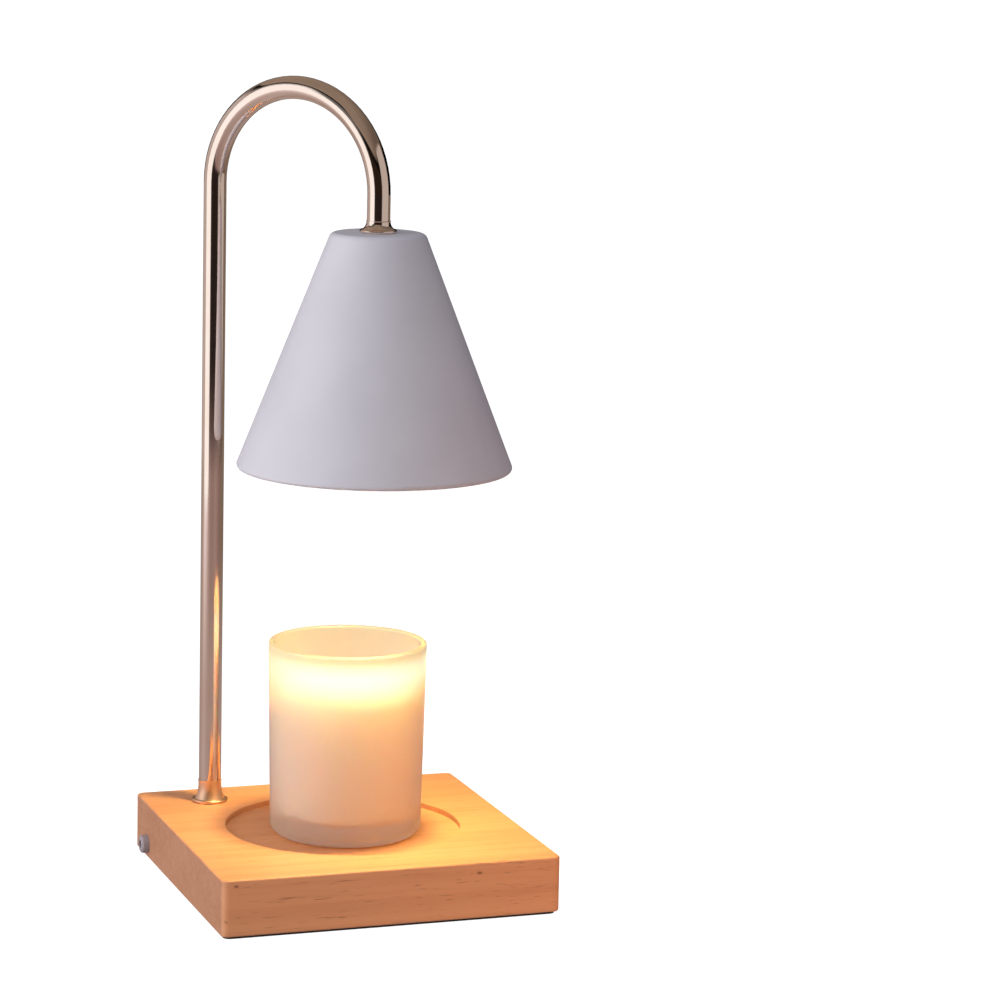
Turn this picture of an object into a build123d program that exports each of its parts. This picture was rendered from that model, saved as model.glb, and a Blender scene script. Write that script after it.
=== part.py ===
from build123d import *
from math import cos, radians, sin
import os

os.makedirs("parts", exist_ok=True)

# A table lamp that melts a scented candle from above with the heat of a reflector bulb.
# Millimetres. The origin is the centre of the footprint on the table, +Z up, -Y to the front.
# Within the lamp, pieces that touch share a face. Pieces of different bodies keep seat_gap.

# ---- clearances ----
seat_gap = 0.3            # between a loose piece and what it rests on
slip_fit = 0.05           # radial, a ring or nut on the tube
drill_fit = 0.15          # radial, the tube in a drilled hole
screw_fit = 0.2           # radial, a screw in a clearance hole
same_place = 1e-3         # how near two lengths are when an edge is picked by its size
round_share = 0.45        # widest round on an edge, as a share of the wall behind it

# ---- wooden base ----
base_width = 150.0
base_depth = 150.0
base_height = 24.5
base_corner_radius = 3.0
base_edge_radius = 1.0
recess_diameter = 103.0
recess_depth = 2.5
recess_edge_radius = 0.5
pad_thickness = 1.0
pad_inset = 1.5

# ---- wiring pocket under the base ----
pocket_radius = 25.0
pocket_depth = 13.0
pocket_right_of_post = 5.4
pocket_front_of_post = 11.2
nut_bore_radius = 11.0
nut_bore_depth = 19.0
cover_radius = 29.3
cover_thickness = 2.5
cover_screw_circle = 27.2
cover_screw_count = 4
cover_screw_radius = 1.25
cover_screw_head_radius = 2.0
cover_screw_length = 9.0
cover_cross_reach = 1.2
cover_cross_width = 0.6

# ---- cord inlet in the left side ----
inlet_height = 6.5        # above the underside of the wood
inlet_bore_radius = 1.9
inlet_neck_radius = 3.2
inlet_neck_length = 9.0
inlet_flange_radius = 4.1
inlet_flange_length = 3.4
inlet_flange_round = 1.2

# ---- bent tube ----
lamp_height = 352.1       # from the table to the top of the arch
tube_diameter = 10.0
tube_wall = 0.8
post_from_left = 28.6
post_from_back = 21.8
arch_radius = 43.0
arch_heading = -51.3      # degrees from +X, seen from above
neck_straight = 16.2      # from the arch to the top of the shade
tube_end_chamfer = 0.3

# ---- ring collars ----
collar_ring_round = 0.7
foot_ring_radius = 8.0
foot_ring_height = 1.6
foot_flare_radius = 6.6
foot_flare_height = 10.0
neck_ring_radius = 8.0
neck_ring_height = 1.5
neck_flare_radius = 7.1
neck_flare_height = 5.2
flare_lip = 0.2           # wall of the flare at its thin end
flare_hollow = 0.3        # where the flare's curve passes, as a share of its width and height

# ---- nuts and washers on the tube ----
washer_radius = 9.0
washer_thickness = 1.0
nut_across_flats = 14.0
nut_height = 4.0
thread_beyond_nut = 1.2

# ---- shade ----
shade_top_radius = 20.2
shade_rim_radius = 59.9
shade_height = 101.5
shade_wall = 1.0
shade_shoulder_radius = 3.0
shade_rim_round = 1.5
shade_rim_lip = 3.0

# ---- lampholder and its bracket ----
strap_width = 13.0
strap_thickness = 1.0
strap_bend_radius = 1.8   # outside the bend
strap_half_span = 12.5
strap_drop = 18.0
strap_foot = 7.0
holder_radius = 13.5
holder_height = 17.0
holder_edge_radius = 1.2
holder_face_thickness = 2.6
holder_cavity_depth = 6.4
holder_screw_offset = 9.4
holder_screw_radius = 1.5
holder_screw_head_radius = 2.75
holder_screw_head_height = 2.0
holder_screw_head_round = 0.8
holder_cross_reach = 1.6
holder_cross_width = 0.8
holder_cross_depth = 1.2
holder_screw_seat = 6.0   # how deep the head sits in the holder
pin_offset = 5.0
pin_neck_radius = 1.25
pin_head_radius = 2.4
pin_head_height = 2.0
pin_play = 0.4            # around a pin in its slot
unlock_angle = 30.0
contact_thickness = 0.5
contact_length = 4.4
contact_width = 2.9
contact_barrel_radius = 1.3
contact_barrel_length = 2.0

# ---- reflector bulb ----
bulb_cap_radius = 11.0
bulb_cap_height = 12.0
bulb_cap_edge = 1.0
bulb_neck_radius = 11.6
bulb_neck_height = 3.0
reflector_mouth_radius = 24.4
reflector_height = 29.0
reflector_wall = 1.2
reflector_bulge = 3.4
bulb_rim_height = 4.0
bulb_rim_wall = 0.8
lens_thickness = 2.0
capsule_radius = 4.5
capsule_length = 19.0
capsule_round = 4.0

# ---- leads inside the tube, and their terminals ----
lead_radius = 0.9
lead_offset = 1.8         # each side of the tube's axis
lead_low_bend = 5.0
lead_neck_bend = 8.0
lead_contact_bend = 4.0
lead_neck_rise = 7.0
lead_neck_start = 1.0
terminal_entry_height = 5.8   # above the inside of the cover
terminal_width = 17.0
terminal_length = 16.0
terminal_from_post = 10.5
terminal_edge = 0.6
terminal_pitch = 10.0
terminal_bore_radius = 1.5
terminal_way_length = 4.0     # how deep a lead goes in from either end
terminal_screw_radius = 1.6
terminal_screw_length = 3.4
terminal_slot_width = 0.5
terminal_slot_depth = 0.8
fixing_screw_radius = 1.4
fixing_screw_head_radius = 2.6
fixing_screw_head_height = 1.8
fixing_screw_bite = 5.0

# ---- candle ----
candle_from_centre = 3.0  # towards the front
glass_rim_radius = 34.5
glass_foot_radius = 33.0
glass_height = 85.2
glass_wall = 2.6
glass_floor = 8.5
glass_corner_radius = 4.5
glass_inner_corner = 4.0
wax_below_rim = 22.0
wick_radius = 0.9
wick_above_wax = 7.0
sustainer_radius = 8.0
sustainer_thickness = 0.4
sustainer_neck_radius = 1.8
sustainer_neck_height = 4.0

# ---- levels and places worked out from the sizes above ----
base_bottom = pad_thickness
base_top = base_bottom + base_height
tube_radius = tube_diameter / 2
bore_radius = tube_radius - tube_wall
post_x = post_from_left - base_width / 2
post_y = base_depth / 2 - post_from_back
arch_spring = lamp_height - tube_radius - arch_radius
heading_x = cos(radians(arch_heading))
heading_y = sin(radians(arch_heading))
shade_x = post_x + 2 * arch_radius * heading_x
shade_y = post_y + 2 * arch_radius * heading_y
shade_top = arch_spring - neck_straight
shade_rim = shade_top - shade_height

pocket_x = post_x + pocket_right_of_post
pocket_y = post_y - pocket_front_of_post
pocket_ceiling = base_bottom + pocket_depth
nut_ceiling = base_bottom + nut_bore_depth
cover_top = base_bottom + cover_thickness
post_nut_top = nut_ceiling - washer_thickness
tube_low = post_nut_top - nut_height - thread_beyond_nut
inlet_z = base_bottom + inlet_height

strap_top = shade_top - shade_wall
shade_nut_top = strap_top - strap_thickness - washer_thickness
tube_high = shade_nut_top - nut_height - thread_beyond_nut
holder_top = strap_top - strap_drop
holder_face = holder_top - holder_height
cavity_floor = holder_face + holder_face_thickness
cavity_ceiling = cavity_floor + holder_cavity_depth
bulb_top = holder_face - seat_gap
pin_head_base = cavity_floor + seat_gap
pin_head_top = pin_head_base + pin_head_height
contact_base = pin_head_top + seat_gap
bulb_shoulder = bulb_top - bulb_cap_height
reflector_top = bulb_shoulder - bulb_neck_height
bulb_face = reflector_top - reflector_height

terminal_bore_z = cover_top + terminal_entry_height
candle_y = -candle_from_centre
candle_bottom = base_top - recess_depth + seat_gap
glass_rim = candle_bottom + glass_height
wax_bottom = candle_bottom + glass_floor
wax_top = glass_rim - wax_below_rim

# ---- frames ----
post_axis = Pos(post_x, post_y, 0)
pocket_axis = Pos(pocket_x, pocket_y, 0)
shade_axis = Pos(shade_x, shade_y, 0) * Rot(0, 0, arch_heading)
candle_axis = Pos(0, candle_y, 0)
terminal_frame = post_axis * Rot(0, 0, arch_heading) * Pos(terminal_from_post, 0, 0)


def arch_plane(sideways=0.0):
    """Upright plane of the arch: local x runs from the post to the shade, local y is up."""
    normal = (heading_y, -heading_x, 0)
    origin = (post_x - heading_y * sideways, post_y + heading_x * sideways, 0)
    return Plane(origin=origin, x_dir=(heading_x, heading_y, 0), z_dir=normal)


def cylinder(radius, low, high):
    return Pos(0, 0, low) * extrude(Circle(radius), high - low)


def ring(outer, inner, low, high):
    return Pos(0, 0, low) * extrude(Circle(outer) - Circle(inner), high - low)


def turned(*points):
    """Solid of revolution about Z from (radius, height) points."""
    return revolve(Plane.XZ * make_face(Polyline(*points, close=True)), Axis.Z)


def on_circle(radius, count, start=0.0):
    return [Rot(0, 0, start + 360 * i / count) * Pos(radius, 0, 0) for i in range(count)]


# ---- wooden base and what closes it ----
def wooden_base():
    block = extrude(RectangleRounded(base_width, base_depth, base_corner_radius), base_height)
    block = Pos(0, 0, base_bottom) * block
    rims = block.edges().group_by(Axis.Z)
    block = fillet(rims[0] + rims[-1], base_edge_radius)
    recess = cylinder(recess_diameter / 2, base_top - recess_depth, base_top)
    block = block - recess
    mouth = block.edges().filter_by(GeomType.CIRCLE).filter_by(
        lambda e: abs(e.radius - recess_diameter / 2) < same_place).sort_by(Axis.Z)[-1]
    block = fillet(mouth, recess_edge_radius)
    pocket = cylinder(pocket_radius, base_bottom, pocket_ceiling)
    rebate = cylinder(cover_radius + drill_fit, base_bottom, cover_top)
    block = block - pocket_axis * (pocket + rebate)
    block = block - post_axis * cylinder(nut_bore_radius, base_bottom, nut_ceiling)
    block = block - post_axis * cylinder(tube_radius + drill_fit, nut_ceiling, base_top)
    inlet = Pos(-base_width / 2, post_y, inlet_z) * Rot(0, 90, 0) * extrude(
        Circle(inlet_neck_radius), post_from_left)
    block = block - inlet
    pilot = cylinder(cover_screw_radius, cover_top, base_bottom + cover_screw_length)
    for place in on_circle(cover_screw_circle, cover_screw_count):
        block = block - pocket_axis * place * pilot
    bite = cylinder(fixing_screw_radius, pocket_ceiling, pocket_ceiling + fixing_screw_bite)
    return block - terminal_frame * Pos(terminal_length / 2, 0, 0) * bite


def anti_slip_pad():
    outline = RectangleRounded(base_width - 2 * pad_inset, base_depth - 2 * pad_inset, base_corner_radius)
    window = Pos(pocket_x, pocket_y) * Circle(cover_radius + pad_inset)
    return extrude(outline - window, pad_thickness)


def bottom_cover():
    disc = cylinder(cover_radius, base_bottom, cover_top)
    disc = chamfer(disc.edges().group_by(Axis.Z)[0], tube_end_chamfer)
    hole = turned(
        (0, base_bottom), (cover_screw_head_radius + screw_fit, base_bottom),
        (cover_screw_radius + screw_fit, base_bottom + cover_screw_head_radius - cover_screw_radius),
        (cover_screw_radius + screw_fit, cover_top), (0, cover_top))
    for place in on_circle(cover_screw_circle, cover_screw_count):
        disc = disc - place * hole
    return pocket_axis * disc


def cross_recess(reach, width, depth):
    """Two crossed bars, open upwards at z = 0 and cut downwards."""
    bar = Box(2 * reach, width, depth, align=(Align.CENTER, Align.CENTER, Align.MAX))
    return bar + Rot(0, 0, 90) * bar


def cover_screws():
    head_height = cover_screw_head_radius - cover_screw_radius
    screw = turned(
        (0, 0), (cover_screw_head_radius, 0), (cover_screw_radius, head_height),
        (cover_screw_radius, cover_screw_length - cover_screw_radius), (0, cover_screw_length))
    screw = screw - Rot(180, 0, 0) * cross_recess(cover_cross_reach, cover_cross_width, head_height)
    places = on_circle(cover_screw_circle, cover_screw_count)
    return Compound([pocket_axis * place * Pos(0, 0, base_bottom) * screw for place in places])


def cable_grommet():
    neck = extrude(Circle(inlet_neck_radius), inlet_neck_length)
    flange = extrude(Circle(inlet_flange_radius), -inlet_flange_length)
    flange = fillet(flange.edges().group_by(Axis.Z)[0], inlet_flange_round)
    bore = Pos(0, 0, -inlet_flange_length) * extrude(
        Circle(inlet_bore_radius), inlet_flange_length + inlet_neck_length)
    return Pos(-base_width / 2, post_y, inlet_z) * Rot(0, 90, 0) * (neck + flange - bore)


# ---- tube, its collars and nuts ----
def post_tube():
    up = Line((0, tube_low), (0, arch_spring))
    over = CenterArc((arch_radius, arch_spring), arch_radius, 180, -180)
    down = Line((2 * arch_radius, arch_spring), (2 * arch_radius, tube_high))
    path = arch_plane() * Wire([up, over, down])
    section = Plane((post_x, post_y, tube_low)) * (Circle(tube_radius) - Circle(bore_radius))
    tube = sweep(section, path=path)
    ends = tube.edges().filter_by(GeomType.CIRCLE).filter_by(
        lambda e: abs(e.radius - tube_radius) < same_place and
        min(abs(e.arc_center.Z - tube_low), abs(e.arc_center.Z - tube_high)) < same_place)
    return chamfer(ends, tube_end_chamfer)


def collar(ring_radius, ring_height, flare_radius, flare_height):
    """Turned ring with a concave trumpet flare that runs up the tube."""
    bore = tube_radius + slip_fit
    lip = bore + flare_lip
    mid_r = lip + (flare_radius - lip) * flare_hollow
    mid_z = ring_height + (flare_height - ring_height) * flare_hollow
    outline = [
        Line((bore, 0), (ring_radius, 0)),
        Line((ring_radius, 0), (ring_radius, ring_height)),
        Line((ring_radius, ring_height), (flare_radius, ring_height)),
        ThreePointArc((flare_radius, ring_height), (mid_r, mid_z), (lip, flare_height)),
        Line((lip, flare_height), (bore, flare_height)),
        Line((bore, flare_height), (bore, 0)),
    ]
    body = revolve(Plane.XZ * make_face(outline), Axis.Z)
    rims = body.edges().filter_by(GeomType.CIRCLE).filter_by(
        lambda e: abs(e.radius - ring_radius) < same_place)
    return fillet(rims, min(collar_ring_round, ring_height * round_share))


def foot_collar():
    return post_axis * Pos(0, 0, base_top) * collar(
        foot_ring_radius, foot_ring_height, foot_flare_radius, foot_flare_height)


def shade_collar():
    return shade_axis * Pos(0, 0, shade_top) * collar(
        neck_ring_radius, neck_ring_height, neck_flare_radius, neck_flare_height)


def lock_nut():
    """Thin hexagon nut with its upper face at z = 0."""
    bore = Circle(tube_radius + slip_fit)
    hexagon = RegularPolygon(nut_across_flats / 2, 6, major_radius=False)
    blank = Pos(0, 0, -nut_height) * extrude(hexagon - bore, nut_height)
    bevel = turned(
        (0, -nut_height), (nut_across_flats / 2, -nut_height),
        (nut_across_flats / 2 + nut_height, 0), (0, 0))
    return blank & bevel


def washer():
    """Flat washer with its upper face at z = 0."""
    return ring(washer_radius, tube_radius + drill_fit, -washer_thickness, 0)


# ---- shade ----
def shade():
    outline = FilletPolyline(
        (tube_radius + drill_fit, shade_top), (shade_top_radius, shade_top),
        (shade_rim_radius, shade_rim), (shade_rim_radius - shade_rim_lip, shade_rim),
        radius=[shade_shoulder_radius, shade_rim_round])
    wall = offset(Wire(outline.edges()), amount=shade_wall, side=Side.RIGHT)
    return shade_axis * revolve(Plane.XZ * make_face(wall.edges()), Axis.Z)


# ---- lampholder ----
def lampholder_bracket():
    """One bent strip: flat under the shade's top, two legs, and two feet turned in over the holder."""
    foot_end = strap_half_span - strap_foot
    outside = FilletPolyline(
        (-foot_end, holder_top), (-strap_half_span, holder_top), (-strap_half_span, strap_top),
        (strap_half_span, strap_top), (strap_half_span, holder_top), (foot_end, holder_top),
        radius=[strap_bend_radius] * 4)
    profile = offset(Wire(outside.edges()), amount=strap_thickness, side=Side.RIGHT)
    strip = extrude(Plane.YZ * make_face(profile.edges()), strap_width / 2, both=True)
    strip = strip - cylinder(tube_radius + drill_fit, strap_top - strap_thickness, strap_top)
    hole = cylinder(holder_screw_radius + slip_fit, holder_top, holder_top + strap_thickness)
    for side in (1, -1):
        strip = strip - Pos(0, side * holder_screw_offset, 0) * hole
    return shade_axis * strip


def pin_slot(radius):
    """Arc slot for one pin, from its locked place to where it drops out."""
    return SlotArc(CenterArc((0, 0), pin_offset, 0, -unlock_angle), 2 * radius)


def lampholder_body():
    body = cylinder(holder_radius, holder_face, holder_top)
    body = fillet(body.edges(), holder_edge_radius)
    slot = Pos(0, 0, holder_face) * extrude(pin_slot(pin_neck_radius + pin_play), holder_face_thickness)
    entry = Rot(0, 0, -unlock_angle) * Pos(pin_offset, 0, 0) * cylinder(
        pin_head_radius + pin_play, holder_face, cavity_floor)
    cavity = Pos(0, 0, cavity_floor) * extrude(pin_slot(pin_head_radius + pin_play), holder_cavity_depth)
    lead_hole = Pos(pin_offset, -lead_offset, 0) * cylinder(
        contact_barrel_radius + screw_fit, cavity_ceiling, holder_top)
    screw_hole = Pos(0, holder_screw_offset, 0) * (
        cylinder(holder_screw_radius + screw_fit, holder_face, holder_top)
        + cylinder(holder_screw_head_radius + screw_fit, holder_face, holder_face + holder_screw_seat))
    half = slot + entry + cavity + lead_hole + screw_hole
    return shade_axis * (body - half - Rot(0, 0, 180) * half)


def lampholder_screws():
    seat = holder_face + holder_screw_seat
    shank = cylinder(holder_screw_radius, seat, holder_top + strap_thickness)
    head = cylinder(holder_screw_head_radius, seat - holder_screw_head_height, seat)
    head = fillet(head.edges().group_by(Axis.Z)[0], holder_screw_head_round)
    slot = Pos(0, 0, seat - holder_screw_head_height) * Rot(180, 0, 0) * cross_recess(
        holder_cross_reach, holder_cross_width, holder_cross_depth)
    screw = Pos(0, holder_screw_offset, 0) * (shank + head - slot)
    return Compound([shade_axis * screw, shade_axis * Rot(0, 0, 180) * screw])


def lampholder_contacts():
    leaf = Pos(pin_offset, 0, contact_base) * extrude(
        Rectangle(contact_width, contact_length), contact_thickness)
    barrel = Pos(pin_offset, -lead_offset, 0) * cylinder(
        contact_barrel_radius, contact_base, cavity_ceiling + contact_barrel_length)
    contact = leaf + barrel
    return Compound([shade_axis * contact, shade_axis * Rot(0, 0, 180) * contact])


# ---- reflector bulb ----
def bulb_cap():
    cap = turned(
        (0, bulb_top), (bulb_cap_radius - bulb_cap_edge, bulb_top),
        (bulb_cap_radius, bulb_top - bulb_cap_edge), (bulb_cap_radius, bulb_shoulder),
        (bulb_neck_radius, reflector_top), (0, reflector_top))
    return shade_axis * cap


def bulb_pins():
    neck = cylinder(pin_neck_radius, bulb_top, pin_head_base)
    head = cylinder(pin_head_radius, pin_head_base, pin_head_top)
    head = chamfer(head.edges().group_by(Axis.Z)[-1], tube_end_chamfer)
    pin = Pos(pin_offset, 0, 0) * (neck + head)
    return Compound([shade_axis * pin, shade_axis * Rot(0, 0, 180) * pin])


def bulb_reflector():
    """Bell of pressed glass, thin walled, open at the mouth."""
    top_r, mouth_r, wall = bulb_neck_radius, reflector_mouth_radius, reflector_wall
    mid_r = (top_r + mouth_r) / 2 + reflector_bulge
    mid_z = (reflector_top + bulb_face) / 2
    outline = [
        Line((top_r - wall, reflector_top), (top_r, reflector_top)),
        ThreePointArc((top_r, reflector_top), (mid_r, mid_z), (mouth_r, bulb_face)),
        Line((mouth_r, bulb_face), (mouth_r - wall, bulb_face)),
        ThreePointArc((mouth_r - wall, bulb_face), (mid_r - wall, mid_z), (top_r - wall, reflector_top)),
    ]
    return shade_axis * revolve(Plane.XZ * make_face(outline), Axis.Z)


def bulb_rim():
    outer = reflector_mouth_radius + bulb_rim_wall
    low = bulb_face - lens_thickness - bulb_rim_wall
    lip = turned(
        (reflector_mouth_radius - reflector_wall, low), (outer, low), (outer, low + bulb_rim_height),
        (reflector_mouth_radius, low + bulb_rim_height), (reflector_mouth_radius, low + bulb_rim_wall),
        (reflector_mouth_radius - reflector_wall, low + bulb_rim_wall))
    return shade_axis * lip


def bulb_lens():
    disc = cylinder(reflector_mouth_radius, bulb_face - lens_thickness, bulb_face)
    return shade_axis * disc


def bulb_capsule():
    body = cylinder(capsule_radius, reflector_top - capsule_length, reflector_top)
    return shade_axis * fillet(body.edges().group_by(Axis.Z)[0], capsule_round)


# ---- leads and terminals ----
def lead(side):
    """One insulated lead, from its terminal up the tube, over the arch and down to its contact.
    side is +1 for the contact away from the post and -1 for the near one."""
    lane = -side * lead_offset
    span = 2 * arch_radius
    jog = tube_high - lead_neck_start
    low = FilletPolyline(
        (terminal_from_post, terminal_bore_z), (0, terminal_bore_z), (0, arch_spring),
        radius=[lead_low_bend])
    over = CenterArc((arch_radius, arch_spring), arch_radius, 180, -180)
    high = FilletPolyline(
        (span, arch_spring), (span, jog), (span + side * pin_offset, jog - lead_neck_rise),
        (span + side * pin_offset, cavity_ceiling + contact_barrel_length),
        radius=[lead_neck_bend, lead_contact_bend])
    path = arch_plane(lane) * Wire(low.edges() + [over] + high.edges())
    start = Plane(origin=path @ 0, z_dir=path % 0)
    return sweep(start * Circle(lead_radius), path=path)


def terminal_block():
    height = pocket_ceiling - cover_top - seat_gap
    block = Pos(terminal_length / 2, 0, pocket_ceiling - height / 2) * Box(
        terminal_length, terminal_width, height)
    block = fillet(block.edges().filter_by(Axis.Z), terminal_edge)
    for side in (1, -1):
        wire_way = Pos(0, side * lead_offset, terminal_bore_z) * Rot(0, 90, 0) * extrude(
            Circle(lead_radius + slip_fit), terminal_way_length)
        far_end = Pos(terminal_length, side * terminal_pitch / 2, terminal_bore_z)
        far_way = far_end * Rot(0, -90, 0) * extrude(Circle(terminal_bore_radius), terminal_way_length)
        screw_way = Pos(terminal_length / 2, side * terminal_pitch / 2, 0) * cylinder(
            terminal_screw_radius, pocket_ceiling - height, terminal_bore_z)
        block = block - wire_way - far_way - screw_way
    fixing = cylinder(fixing_screw_radius, pocket_ceiling - height, pocket_ceiling)
    head_way = cylinder(
        fixing_screw_head_radius, pocket_ceiling - height, terminal_bore_z)
    return terminal_frame * (block - Pos(terminal_length / 2, 0, 0) * (fixing + head_way))


def terminal_screws():
    top = terminal_bore_z
    pinch = cylinder(terminal_screw_radius, top - terminal_screw_length, top)
    slot = Pos(0, 0, top - terminal_screw_length) * Box(
        2 * terminal_screw_radius, terminal_slot_width, 2 * terminal_slot_depth)
    pinch = pinch - slot
    head = cylinder(fixing_screw_head_radius, top - fixing_screw_head_height, top)
    shank = cylinder(fixing_screw_radius, top, pocket_ceiling + fixing_screw_bite)
    centre = terminal_frame * Pos(terminal_length / 2, 0, 0)
    sides = [centre * Pos(0, side * terminal_pitch / 2, 0) * pinch for side in (1, -1)]
    return Compound(sides + [centre * (head + shank)])


# ---- candle ----
def glass_wall_radius(z):
    """Outer radius of the tapered glass at height z."""
    share = (z - candle_bottom) / glass_height
    return glass_foot_radius + (glass_rim_radius - glass_foot_radius) * share


def candle_glass():
    inner_rim = glass_rim_radius - glass_wall
    inner_foot = glass_wall_radius(wax_bottom) - glass_wall
    outside = FilletPolyline(
        (0, candle_bottom), (glass_foot_radius, candle_bottom), (glass_rim_radius, glass_rim),
        radius=[glass_corner_radius])
    inside = FilletPolyline(
        (inner_rim, glass_rim), (inner_foot, wax_bottom), (0, wax_bottom),
        radius=[glass_inner_corner])
    ends = [
        Line((glass_rim_radius, glass_rim), (inner_rim, glass_rim)),
        Line((0, wax_bottom), (0, candle_bottom))]
    outline = outside.edges() + inside.edges() + ends
    glass = revolve(Plane.XZ * make_face(outline), Axis.Z)
    rim = glass.edges().filter_by(GeomType.CIRCLE).group_by(Axis.Z)[-1]
    return candle_axis * fillet(rim, glass_wall * round_share)


def sustainer():
    plate = cylinder(sustainer_radius, wax_bottom, wax_bottom + sustainer_thickness)
    neck = cylinder(sustainer_neck_radius, wax_bottom, wax_bottom + sustainer_neck_height)
    return plate + neck


def wick_sustainer():
    return candle_axis * (sustainer() - cylinder(wick_radius, wax_bottom, wax_top))


def candle_wick():
    return candle_axis * cylinder(wick_radius, wax_bottom, wax_top + wick_above_wax)


def candle_wax():
    top_r = glass_wall_radius(wax_top) - glass_wall
    foot_r = glass_wall_radius(wax_bottom) - glass_wall
    outline = FilletPolyline(
        (top_r, wax_top), (foot_r, wax_bottom), (0, wax_bottom), radius=[glass_inner_corner])
    edges = outline.edges() + [Line((0, wax_bottom), (0, wax_top)), Line((0, wax_top), (top_r, wax_top))]
    wax = revolve(Plane.XZ * make_face(edges), Axis.Z)
    wick = cylinder(wick_radius, wax_bottom, wax_top)
    return candle_axis * (wax - sustainer() - wick)


pieces = {
    "wooden_base": wooden_base(),
    "anti_slip_pad": anti_slip_pad(),
    "bottom_cover": bottom_cover(),
    "cover_screws": cover_screws(),
    "cable_grommet": cable_grommet(),
    "post_tube": post_tube(),
    "foot_collar": foot_collar(),
    "post_washer": post_axis * Pos(0, 0, nut_ceiling) * washer(),
    "post_lock_nut": post_axis * Pos(0, 0, post_nut_top) * lock_nut(),
    "terminal_block": terminal_block(),
    "terminal_screws": terminal_screws(),
    "lead_live": lead(1),
    "lead_neutral": lead(-1),
    "shade_collar": shade_collar(),
    "shade": shade(),
    "shade_washer": shade_axis * Pos(0, 0, strap_top - strap_thickness) * washer(),
    "shade_lock_nut": shade_axis * Pos(0, 0, shade_nut_top) * lock_nut(),
    "lampholder_bracket": lampholder_bracket(),
    "lampholder_body": lampholder_body(),
    "lampholder_screws": lampholder_screws(),
    "lampholder_contacts": lampholder_contacts(),
    "bulb_cap": bulb_cap(),
    "bulb_pins": bulb_pins(),
    "bulb_reflector": bulb_reflector(),
    "bulb_rim": bulb_rim(),
    "bulb_lens": bulb_lens(),
    "bulb_capsule": bulb_capsule(),
    "candle_glass": candle_glass(),
    "candle_wax": candle_wax(),
    "candle_wick": candle_wick(),
    "wick_sustainer": wick_sustainer(),
}

for name, piece in pieces.items():
    export_step(piece, f"parts/{name}.step")
    print(f"{name}: {len(piece.solids())} solid(s), {piece.volume:.1f} mm3")
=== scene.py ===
import math
import bpy
from mathutils import Matrix, Vector


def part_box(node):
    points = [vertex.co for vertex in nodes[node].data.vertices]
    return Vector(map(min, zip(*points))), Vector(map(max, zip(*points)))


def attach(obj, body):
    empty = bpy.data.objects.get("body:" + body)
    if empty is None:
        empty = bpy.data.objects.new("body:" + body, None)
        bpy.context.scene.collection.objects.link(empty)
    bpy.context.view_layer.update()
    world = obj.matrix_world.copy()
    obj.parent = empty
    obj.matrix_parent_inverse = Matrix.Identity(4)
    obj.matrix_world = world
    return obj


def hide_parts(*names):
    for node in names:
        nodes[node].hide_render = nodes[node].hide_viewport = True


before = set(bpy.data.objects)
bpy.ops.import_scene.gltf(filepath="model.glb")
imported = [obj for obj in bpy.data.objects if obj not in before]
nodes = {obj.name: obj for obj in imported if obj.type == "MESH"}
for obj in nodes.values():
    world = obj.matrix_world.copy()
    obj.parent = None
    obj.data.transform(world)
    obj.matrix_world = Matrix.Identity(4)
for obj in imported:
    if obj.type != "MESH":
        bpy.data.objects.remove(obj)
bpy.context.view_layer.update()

# what stands on what, read from the frame
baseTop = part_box("wooden_base")[1].z
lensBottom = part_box("bulb_lens")[0].z
shadeLow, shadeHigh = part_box("shade")
glassLow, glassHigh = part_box("candle_glass")
waxLow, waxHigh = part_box("candle_wax")
wickLow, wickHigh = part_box("candle_wick")
postLow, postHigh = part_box("foot_collar")
shadeX = (shadeLow.x + shadeHigh.x) / 2
shadeY = (shadeLow.y + shadeHigh.y) / 2
candleX = (glassLow.x + glassHigh.x) / 2
candleY = (glassLow.y + glassHigh.y) / 2
postX = (postLow.x + postHigh.x) / 2
postY = (postLow.y + postHigh.y) / 2
glassTall = glassHigh.z - glassLow.z
glassWide = glassHigh.x - glassLow.x
print("frame loaded:", len(nodes), "nodes")


# small helpers for shader nodes
def newMaterial(name):
    mat = bpy.data.materials.new(name)
    mat.use_nodes = True
    tree = mat.node_tree
    tree.nodes.clear()
    out = tree.nodes.new("ShaderNodeOutputMaterial")
    shader = tree.nodes.new("ShaderNodeBsdfPrincipled")
    tree.links.new(shader.outputs["BSDF"], out.inputs["Surface"])
    return mat, tree, shader


def setInputs(node, **values):
    # names with spaces are written with underscores
    for key, value in values.items():
        node.inputs[key.replace("_", " ")].default_value = value
    return node


def addNode(tree, kind, **settings):
    node = tree.nodes.new("ShaderNode" + kind)
    for key, value in settings.items():
        setattr(node, key, value)
    return node


def feed(tree, socket, value):
    # a number or a tuple is set on the socket itself, another node's output is linked
    if isinstance(value, (int, float, tuple)):
        socket.default_value = value
    else:
        tree.links.new(value, socket)


def objectCoords(tree, scale=(1, 1, 1), shift=(0, 0, 0)):
    # object space, stretched; every object sits at the origin, so this is the lamp's own frame
    mapping = setInputs(addNode(tree, "Mapping"), Scale=scale, Location=shift)
    tree.links.new(addNode(tree, "TexCoord").outputs["Object"], mapping.inputs["Vector"])
    return mapping.outputs["Vector"]


def noise(tree, vector, scale, detail=2.0, rough=0.5, output="Fac"):
    node = setInputs(addNode(tree, "TexNoise"), Scale=scale, Detail=detail, Roughness=rough)
    tree.links.new(vector, node.inputs["Vector"])
    return node.outputs[output]


def cells(tree, scale):
    # distance from the middle of each small cell
    node = setInputs(addNode(tree, "TexVoronoi", feature="F1"), Scale=scale)
    tree.links.new(objectCoords(tree), node.inputs["Vector"])
    return node.outputs["Distance"]


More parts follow.
